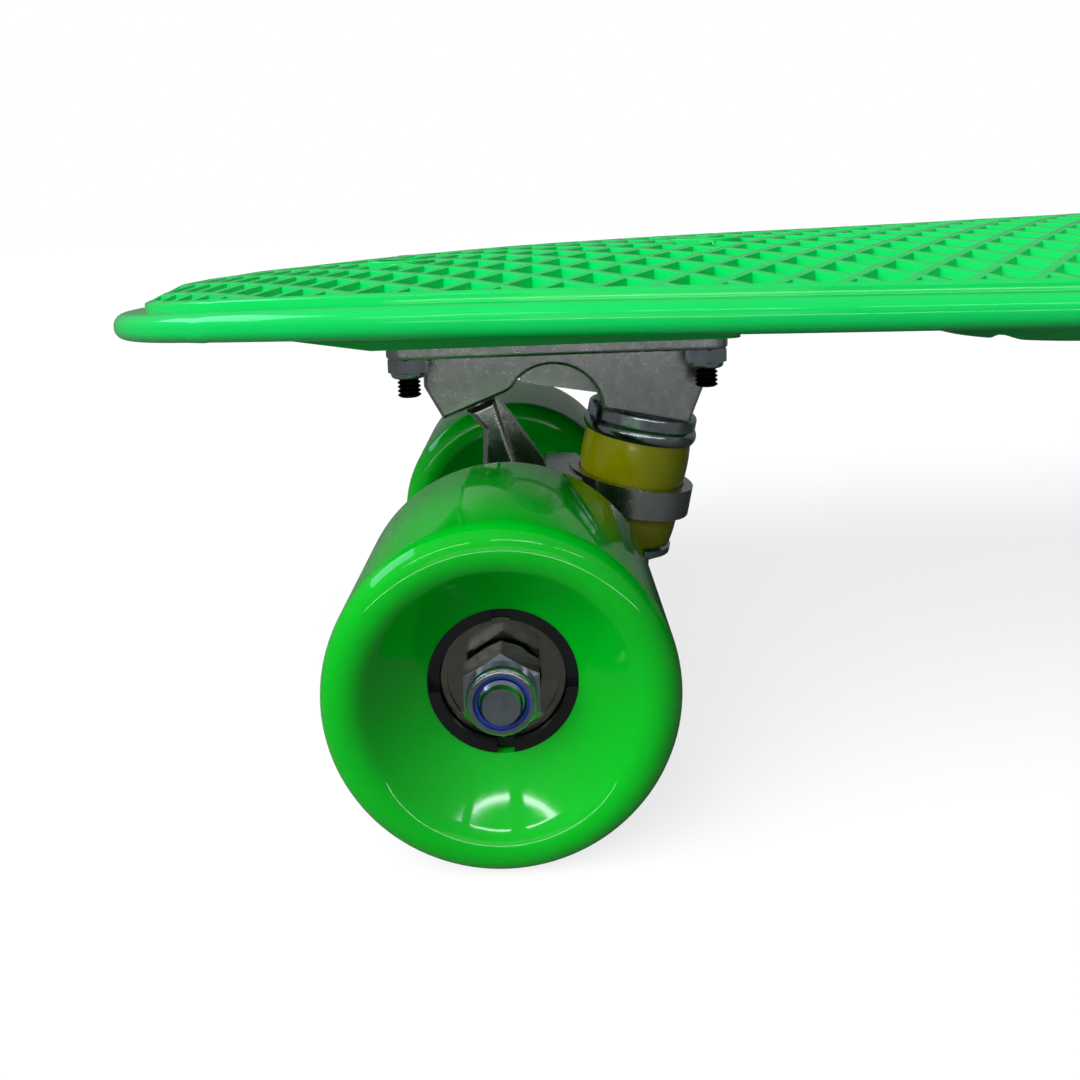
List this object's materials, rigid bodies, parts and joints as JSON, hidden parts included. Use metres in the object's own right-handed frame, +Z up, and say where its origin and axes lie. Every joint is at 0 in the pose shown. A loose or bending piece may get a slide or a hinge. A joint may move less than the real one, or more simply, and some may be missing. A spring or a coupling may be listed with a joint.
{
  "type": "skateboard",
  "caption": "Small moulded plastic cruiser skateboard with a waffle-grid deck, kicked tail, two die-cast steering trucks and soft translucent wheels.",
  "frame": {"origin": "on the floor, under the middle of the board's bounding box, between the four wheels' contact lines", "axes": "+X along the board towards the kicked tail, the nose at -X; +Y towards the rider's right when facing the nose; +Z up"},
  "size_m": [0.559, 0.15, 0.1206],
  "materials": {
    "deck_plastic": "glossy moulded polypropylene, bright green",
    "tyre_urethane": "translucent glossy urethane, green",
    "core_plastic": "black satin",
    "bushing_urethane": "translucent olive yellow urethane",
    "nylon": "blue nylon",
    "pivot_rubber": "black",
    "cast_aluminium": "polished die casting",
    "zinc_steel": "bright zinc plating",
    "bearing_steel": "ground steel",
    "black_steel": "black oxide"
  },
  "bodies": {
    "board": {"baseplate_front": "cast_aluminium", "baseplate_rear": "cast_aluminium", "board_side_bushing_front": "bushing_urethane", "board_side_bushing_rear": "bushing_urethane", "board_side_washer_front": "zinc_steel", "board_side_washer_rear": "zinc_steel", "deck": "deck_plastic", "deck_bolts_front": "black_steel", "deck_bolts_rear": "black_steel", "deck_nut_inserts": "nylon", "deck_nuts_front": "zinc_steel", "deck_nuts_rear": "zinc_steel", "kingpin_front": "zinc_steel", "kingpin_nut_front": "zinc_steel", "kingpin_nut_inserts": "nylon", "kingpin_nut_rear": "zinc_steel", "kingpin_rear": "zinc_steel", "pivot_cup_front": "pivot_rubber", "pivot_cup_rear": "pivot_rubber", "road_side_bushing_front": "bushing_urethane", "road_side_bushing_rear": "bushing_urethane", "road_side_washer_front": "zinc_steel", "road_side_washer_rear": "zinc_steel"},
    "truck_front": {"hanger_front": "cast_aluminium", "axle_front": "zinc_steel", "axle_nuts_front": "zinc_steel", "axle_nut_inserts_front": "nylon", "speed_washers_front": "zinc_steel", "bearing_inner_rings_front": "bearing_steel", "bearing_spacers_front": "bearing_steel"},
    "wheel_front_left": {"tyre_front_left": "tyre_urethane", "core_front_left": "core_plastic", "bearing_outer_rings_front_left": "bearing_steel", "bearing_shields_front_left": "bearing_steel", "bearing_balls_front_left": "bearing_steel"},
    "wheel_front_right": {"tyre_front_right": "tyre_urethane", "core_front_right": "core_plastic", "bearing_outer_rings_front_right": "bearing_steel", "bearing_shields_front_right": "bearing_steel", "bearing_balls_front_right": "bearing_steel"},
    "truck_rear": {"hanger_rear": "cast_aluminium", "axle_rear": "zinc_steel", "axle_nuts_rear": "zinc_steel", "axle_nut_inserts_rear": "nylon", "speed_washers_rear": "zinc_steel", "bearing_inner_rings_rear": "bearing_steel", "bearing_spacers_rear": "bearing_steel"},
    "wheel_rear_left": {"tyre_rear_left": "tyre_urethane", "core_rear_left": "core_plastic", "bearing_outer_rings_rear_left": "bearing_steel", "bearing_shields_rear_left": "bearing_steel", "bearing_balls_rear_left": "bearing_steel"},
    "wheel_rear_right": {"tyre_rear_right": "tyre_urethane", "core_rear_right": "core_plastic", "bearing_outer_rings_rear_right": "bearing_steel", "bearing_shields_rear_right": "bearing_steel", "bearing_balls_rear_right": "bearing_steel"}
  },
  "joints": [
    {"name": "steer_front", "type": "hinge", "parent": "board", "child": "truck_front", "pos_m": [-0.20138, 0, 0.07093], "axis": [0.8139, 0, -0.581], "range_deg": [-15, 15], "stiffness_Nm_per_rad": 40, "deforming": ["board_side_bushing_front", "road_side_bushing_front"]},
    {"name": "steer_rear", "type": "hinge", "parent": "board", "child": "truck_rear", "pos_m": [0.17538, 0, 0.07093], "axis": [-0.8139, 0, -0.581], "range_deg": [-15, 15], "stiffness_Nm_per_rad": 40, "deforming": ["board_side_bushing_rear", "road_side_bushing_rear"]},
    {"name": "spin_front_left", "type": "hinge", "parent": "truck_front", "child": "wheel_front_left", "pos_m": [-0.193, -0.0505, 0.03], "axis": [0, 1, 0], "continuous": true},
    {"name": "spin_front_right", "type": "hinge", "parent": "truck_front", "child": "wheel_front_right", "pos_m": [-0.193, 0.0505, 0.03], "axis": [0, 1, 0], "continuous": true},
    {"name": "spin_rear_left", "type": "hinge", "parent": "truck_rear", "child": "wheel_rear_left", "pos_m": [0.167, -0.0505, 0.03], "axis": [0, 1, 0], "continuous": true},
    {"name": "spin_rear_right", "type": "hinge", "parent": "truck_rear", "child": "wheel_rear_right", "pos_m": [0.167, 0.0505, 0.03], "axis": [0, 1, 0], "continuous": true}
  ]
}
